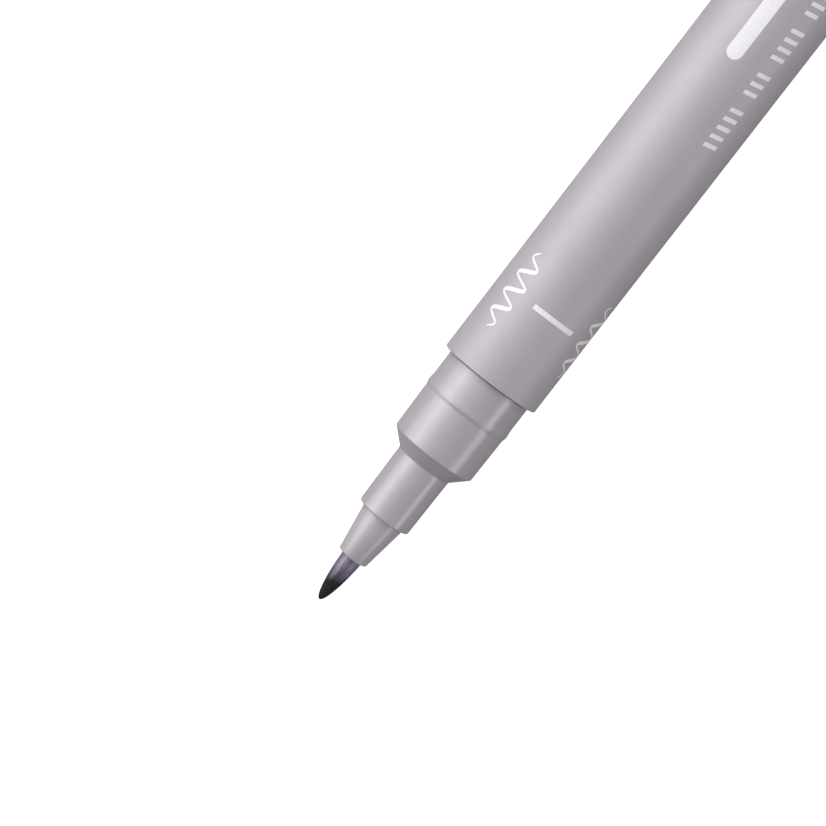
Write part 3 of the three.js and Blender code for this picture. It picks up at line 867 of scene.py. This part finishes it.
def pocket_clip():
    """A sprung steel strip with rounded edges and a rounded free end."""
    line = clip_line()
    blunt_end = 0.25
    data = bmesh.new()
    rings = []
    for i, point in enumerate(line):
        along = (line[min(i + 1, len(line) - 1)] - line[max(i - 1, 0)]).normalized()
        out = Vector((along.y, -along.x))
        left = (line[-1] - point).length
        end_round = min(1.0, left / (CLIP_WIDTH / 2))
        width = CLIP_WIDTH * max(blunt_end, math.sqrt(1 - (1 - end_round) ** 2))
        ring = []
        for across, through in strip_section(width, CLIP_THICKNESS, CLIP_EDGE):
            place = point + out * through
            ring.append(data.verts.new((place.x, across, place.y)))
        rings.append(ring)
    for near, far in zip(rings, rings[1:]):
        for k in range(len(near)):
            after = (k + 1) % len(near)
            data.faces.new((near[k], near[after], far[after], far[k]))
    data.faces.new(rings[0])
    data.faces.new(rings[-1])
    data.transform(Matrix.Rotation(CLIP_TURN, 4, "X"))
    clip = smooth(new_piece("sprung_pocket_clip", data, CAP))
    clip.data.materials.append(STEEL)

    out = Matrix.Rotation(CLIP_TURN, 3, "X") @ Vector((0, 0, 1))
    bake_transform(clip)
    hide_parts("pocket_clip")


# ---------------------------------------------------------------- marks printed on the barrel
def printed(name, shapes):
    """Thin white ink on the barrel. A shape is a list of (station, millimetres round the barrel)."""
    grid, proud, sunk = 0.2, 0.012, 0.03
    data = bmesh.new()
    for shape in shapes:
        data.faces.new([data.verts.new((s, a, 0)) for s, a in shape])
    low = min(a for shape in shapes for _, a in shape)
    high = max(a for shape in shapes for _, a in shape)
    for k in range(1, int((high - low) / grid) + 1):
        geometry = data.verts[:] + data.edges[:] + data.faces[:]
        bmesh.ops.bisect_plane(data, geom=geometry, plane_co=(0, low + k * grid, 0), plane_no=(0, 1, 0))
    raised = bmesh.ops.extrude_face_region(data, geom=data.faces[:])["geom"]
    for vertex in [g for g in raised if isinstance(g, bmesh.types.BMVert)]:
        vertex.co.z = proud + sunk
    for vertex in data.verts:
        turn = vertex.co.y / BARREL_RADIUS
        radius = BARREL_RADIUS - sunk + vertex.co.z
        vertex.co = Vector((vertex.co.x, -radius * math.sin(turn), radius * math.cos(turn)))
    piece = smooth(new_piece(name, data, PEN), 30)
    finished(piece, "pen", PRINT, "print_white")


def ribbon(line, width):
    """The outline of a stroke along a line of points, with a width for each share of its length."""
    left, right = [], []
    for i, point in enumerate(line):
        along = (line[min(i + 1, len(line) - 1)] - line[max(i - 1, 0)]).normalized()
        aside = Vector((-along.y, along.x)) * width(i / (len(line) - 1), along) / 2
        left.append(point + aside)
        right.append(point - aside)
    return [tuple(p) for p in left + right[::-1]]


def flourish(start, length, middle, height, waves):
    """A wavy pen stroke, thin as it rises and broad as it falls."""
    steps = 28 * waves
    thin, swell = 0.24, 0.22
    line = []
    for k in range(steps + 1):
        share = k / steps
        lift = math.sin(2 * math.pi * waves * share) * math.sin(math.pi * share) ** 0.35
        line.append(Vector((start + length * share, middle + lift * height / 2)))

    def width(share, along):
        pointed = min(1.0, 9 * share + 0.2, 9 * (1 - share) + 0.2)
        return (thin + swell * max(0.0, along.y)) * pointed

    return ribbon(line, width)


def rounded_bar(start, length, middle, height):
    """A bar along the barrel with round ends."""
    radius = height / 2
    outline = []
    for station, first in ((start + length - radius, -90), (start + radius, 90)):
        for k in range(13):
            angle = math.radians(first + 180 * k / 12)
            outline.append((station + radius * math.cos(angle), middle + radius * math.sin(angle)))
    return outline


def slanted_bar(start, middle, height, width, slant=0.35):
    """A short bar round the barrel, leaning along it."""
    low, high = middle - height / 2, middle + height / 2
    return [(start, low), (start + width, low), (start + width + slant, high), (start + slant, high)]


def degrees(angle):
    """Millimetres round the barrel for an angle from its top, towards -Y."""
    return math.radians(angle) * BARREL_RADIUS


def marks():
    """A tick line, two flourishes, a row of slanting bars and a rounded bar."""
    front, rear = TICK_STATIONS
    low, high = (degrees(angle) for angle in TICK_ANGLES)
    printed("print_tick", [[(front, low), (rear, low), (rear, high), (front, high)]])
    for k, angle in enumerate(FLOURISH_ANGLES):
        stroke = flourish(FLOURISH_START, FLOURISH_LENGTH, degrees(angle), FLOURISH_HEIGHT, FLOURISH_WAVES)
        printed(f"print_flourish_{k + 1}", [stroke])
    bars, station = [], HATCHING_START
    for count in HATCHING_GROUPS:
        for _ in range(count):
            bars.append(slanted_bar(station, degrees(HATCHING_ANGLE), HATCH_HEIGHT, HATCH_WIDTH))
            station += HATCHING_PITCH
        station += HATCHING_GAP
    printed("print_hatching", bars)
    printed("print_bar", [rounded_bar(BAR_START, BAR_LENGTH, degrees(BAR_ANGLE), BAR_HEIGHT)])


# ---------------------------------------------------------------- studio
def camera():
    """A long lens nearly overhead, tilted towards the tail, with the pen slanting to the lower left."""
    tilt, slope = math.radians(6.75), math.radians(52.45)
    right = Vector((math.cos(slope) * math.cos(tilt), -math.sin(slope), -math.cos(slope) * math.sin(tilt)))
    up = Vector((math.sin(slope) * math.cos(tilt), math.cos(slope), -math.sin(slope) * math.sin(tilt)))
    back = Vector((math.sin(tilt), 0, math.cos(tilt)))
    mouth_top = PEN + Vector((0, 0, BARREL_RADIUS * MM))
    mouth_from_lens = Vector((7.518, 2.986, -199.7)) * MM
    made = bpy.data.cameras.new("camera")
    made.sensor_width = 36
    made.lens = 87.16707
    made.clip_start = 0.01
    rig = bpy.data.objects.new("camera", made)
    axes = Matrix((right, up, back)).transposed()
    rig.matrix_world = Matrix.Translation(mouth_top - axes @ mouth_from_lens) @ axes.to_4x4()
    bpy.context.scene.collection.objects.link(rig)
    bpy.context.scene.camera = rig


def softbox(name, angle, lean, spread, brightness):
    """A panel facing the pen, square to it. Its angles are in degrees: from overhead towards +Y, the
    lean of its middle towards the tail, and the half angles that it spans along the pen and across."""
    distance = 0.7  # metres
    angle, lean = math.radians(angle), math.radians(lean)
    away = Vector((math.sin(lean), math.cos(lean) * math.sin(angle), math.cos(lean) * math.cos(angle)))
    along = (Vector((1, 0, 0)) - away * away.x).normalized()
    made = bpy.data.lights.new(name, "AREA")
    made.shape = "RECTANGLE"
    made.size, made.size_y = (2 * distance * math.tan(math.radians(half)) for half in spread)
    made.energy = math.pi * made.size * made.size_y * brightness
    lamp = bpy.data.objects.new(name, made)
    axes = Matrix((along, away.cross(along), away)).transposed()
    lamp.matrix_world = Matrix.Translation(STUDIO_MIDDLE + away * distance) @ axes.to_4x4()
    bpy.context.scene.collection.objects.link(lamp)


def floor():
    """A sheet of paper under the pen, which the part's files leave out."""
    data = bmesh.new()
    bmesh.ops.create_grid(data, x_segments=1, y_segments=1, size=4)
    mesh = bpy.data.meshes.new("floor")
    data.to_mesh(mesh)
    data.free()
    plane = bpy.data.objects.new("floor", mesh)
    plane.location.z = CAD_BOX[0].z - SEAM_GAP * MM
    mesh.materials.append(floor_paper())
    bpy.context.scene.collection.objects.link(plane)


def floor_paper():
    """Paper that glows to the camera alone, so that it looks plain white and throws little light back."""
    made = Material("white_floor", Roughness=0.8)
    made.set("Base Color", (0.33, 0.33, 0.33, 1))
    made.set("Emission Color", (1, 1, 1, 1))
    seen = made.node("ShaderNodeLightPath").outputs["Is Camera Ray"]
    made.set("Emission Strength", made.math("MULTIPLY", seen, 0.96))
    return made.result


def surroundings():
    """A dim room, brighter behind the tail than ahead of the brush, seen as plain white."""
    world = bpy.data.worlds.new("studio")
    world.use_nodes = True
    tree = world.node_tree
    background = tree.nodes["Background"]
    background.inputs["Color"].default_value = (1, 1, 1, 1)
    direction = tree.nodes.new("ShaderNodeSeparateXYZ")
    tree.links.new(tree.nodes.new("ShaderNodeTexCoord").outputs["Generated"], direction.inputs[0])
    room = tree.nodes.new("ShaderNodeMapRange")
    for key, number in (("From Min", -0.6), ("From Max", 0.6), ("To Min", 0.05), ("To Max", 0.22)):
        room.inputs[key].default_value = number
    tree.links.new(direction.outputs["X"], room.inputs["Value"])
    strength = tree.nodes.new("ShaderNodeMath")
    strength.operation = "MAXIMUM"
    tree.links.new(tree.nodes.new("ShaderNodeLightPath").outputs["Is Camera Ray"], strength.inputs[0])
    tree.links.new(room.outputs["Result"], strength.inputs[1])
    tree.links.new(strength.outputs[0], background.inputs["Strength"])
    bpy.context.scene.world = world


def studio():
    """The room, with key panels on the +Y side, a strip and a fill on the -Y side, and one overhead."""
    surroundings()
    softbox("key_softbox", 56, 8, (42, 32), 1.65)
    softbox("key_middle", 50, 8, (42, 15), 0.95)
    softbox("key_core", 58, 0, (42, 7), 1.45)
    softbox("low_softbox", 80, -4, (42, 9), 0.75)
    softbox("side_strip", -69, 0, (42, 7.6), 2.4)
    softbox("side_fill", -42, 12, (42, 40), 0.44)
    softbox("overhead", 12, 10, (42, 15), 0.82)
    bpy.context.scene.view_settings.view_transform = "Standard"


barrel()
tail_plug()
grip_section()
nib_ferrule()
brush()
reservoir()
cap_shell()
inner_cap()
cap_crown()
pocket_clip()
marks()
floor()
studio()
camera()
